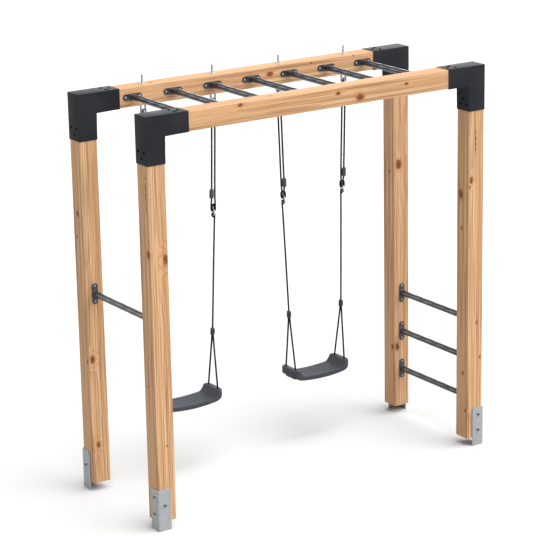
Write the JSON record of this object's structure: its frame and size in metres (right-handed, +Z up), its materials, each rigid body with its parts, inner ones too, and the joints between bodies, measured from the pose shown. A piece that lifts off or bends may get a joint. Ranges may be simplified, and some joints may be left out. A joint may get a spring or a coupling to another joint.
{
  "type": "monkey bars",
  "caption": "Timber monkey bars with steel corner sleeves, overhead rungs, an end ladder, a tumble bar and two rope swings.",
  "frame": {"origin": "on the ground under the middle of the overall box, seats included", "axes": "+X along the beams towards the ladder end, +Y towards the beam that carries the swings, +Z up"},
  "size_m": [2.1606, 0.822, 2.241],
  "materials": {
    "timber": "planed and oiled",
    "black_steel": "satin powder coat",
    "galvanised": "galvanised",
    "anthracite_steel": "ribbed satin coat",
    "zinc_hardware": "zinc plated",
    "nylon": "plain",
    "rope": "braided",
    "grey_plastic": "moulded",
    "seat_plastic": "moulded with fine ridges"
  },
  "bodies": {
    "frame": {"post_front_left": "timber", "post_front_right": "timber", "post_rear_left": "timber", "post_rear_right": "timber", "beam_front": "timber", "beam_rear": "timber", "corner_sleeve_front_left": "black_steel", "corner_sleeve_front_right": "black_steel", "corner_sleeve_rear_left": "black_steel", "corner_sleeve_rear_right": "black_steel", "angle_foot_front_left": "galvanised", "angle_foot_front_right": "galvanised", "angle_foot_rear_left": "galvanised", "angle_foot_rear_right": "galvanised", "monkey_rung_1": "anthracite_steel", "monkey_rung_2": "anthracite_steel", "monkey_rung_3": "anthracite_steel", "monkey_rung_4": "anthracite_steel", "monkey_rung_5": "anthracite_steel", "monkey_rung_6": "anthracite_steel", "monkey_rung_7": "anthracite_steel", "tumble_bar_left": "anthracite_steel", "ladder_rung_low": "anthracite_steel", "ladder_rung_middle": "anthracite_steel", "ladder_rung_high": "anthracite_steel", "swing_hanger_1": "zinc_hardware", "hanger_nut_1": "zinc_hardware", "swing_hanger_2": "zinc_hardware", "hanger_nut_2": "zinc_hardware", "swing_hanger_3": "zinc_hardware", "hanger_nut_3": "zinc_hardware", "swing_hanger_4": "zinc_hardware", "hanger_nut_4": "zinc_hardware"},
    "swing_left_upper": {"swing_left_hanger_link_left": "zinc_hardware", "swing_left_bush_left": "nylon", "swing_left_upper_rope_left": "rope", "swing_left_rope_adjuster_left": "grey_plastic", "swing_left_link_ring_left": "zinc_hardware", "swing_left_hanger_link_right": "zinc_hardware", "swing_left_bush_right": "nylon", "swing_left_upper_rope_right": "rope", "swing_left_rope_adjuster_right": "grey_plastic", "swing_left_link_ring_right": "zinc_hardware"},
    "swing_left_lower": {"swing_left_lower_rope_left": "rope", "swing_left_lower_rope_right": "rope", "swing_left_seat": "seat_plastic"},
    "swing_right_upper": {"swing_right_hanger_link_left": "zinc_hardware", "swing_right_bush_left": "nylon", "swing_right_upper_rope_left": "rope", "swing_right_rope_adjuster_left": "grey_plastic", "swing_right_link_ring_left": "zinc_hardware", "swing_right_hanger_link_right": "zinc_hardware", "swing_right_bush_right": "nylon", "swing_right_upper_rope_right": "rope", "swing_right_rope_adjuster_right": "grey_plastic", "swing_right_link_ring_right": "zinc_hardware"},
    "swing_right_lower": {"swing_right_lower_rope_left": "rope", "swing_right_lower_rope_right": "rope", "swing_right_seat": "seat_plastic"}
  },
  "joints": [
    {"name": "swing_left", "type": "hinge", "parent": "frame", "child": "swing_left_upper", "pos_m": [-0.4336, 0.33195, 2.042], "axis": [1, 0, 0], "range_deg": [-60, 60]},
    {"name": "swing_left_seat_tilt", "type": "hinge", "parent": "swing_left_upper", "child": "swing_left_lower", "pos_m": [-0.4336, 0.33195, 1.42277], "axis": [1, 0, 0], "range_deg": [-25, 25]},
    {"name": "swing_right", "type": "hinge", "parent": "frame", "child": "swing_right_upper", "pos_m": [0.4336, 0.33195, 2.042], "axis": [1, 0, 0], "range_deg": [-60, 60]},
    {"name": "swing_right_seat_tilt", "type": "hinge", "parent": "swing_right_upper", "child": "swing_right_lower", "pos_m": [0.4336, 0.33195, 1.42277], "axis": [1, 0, 0], "range_deg": [-25, 25]}
  ]
}
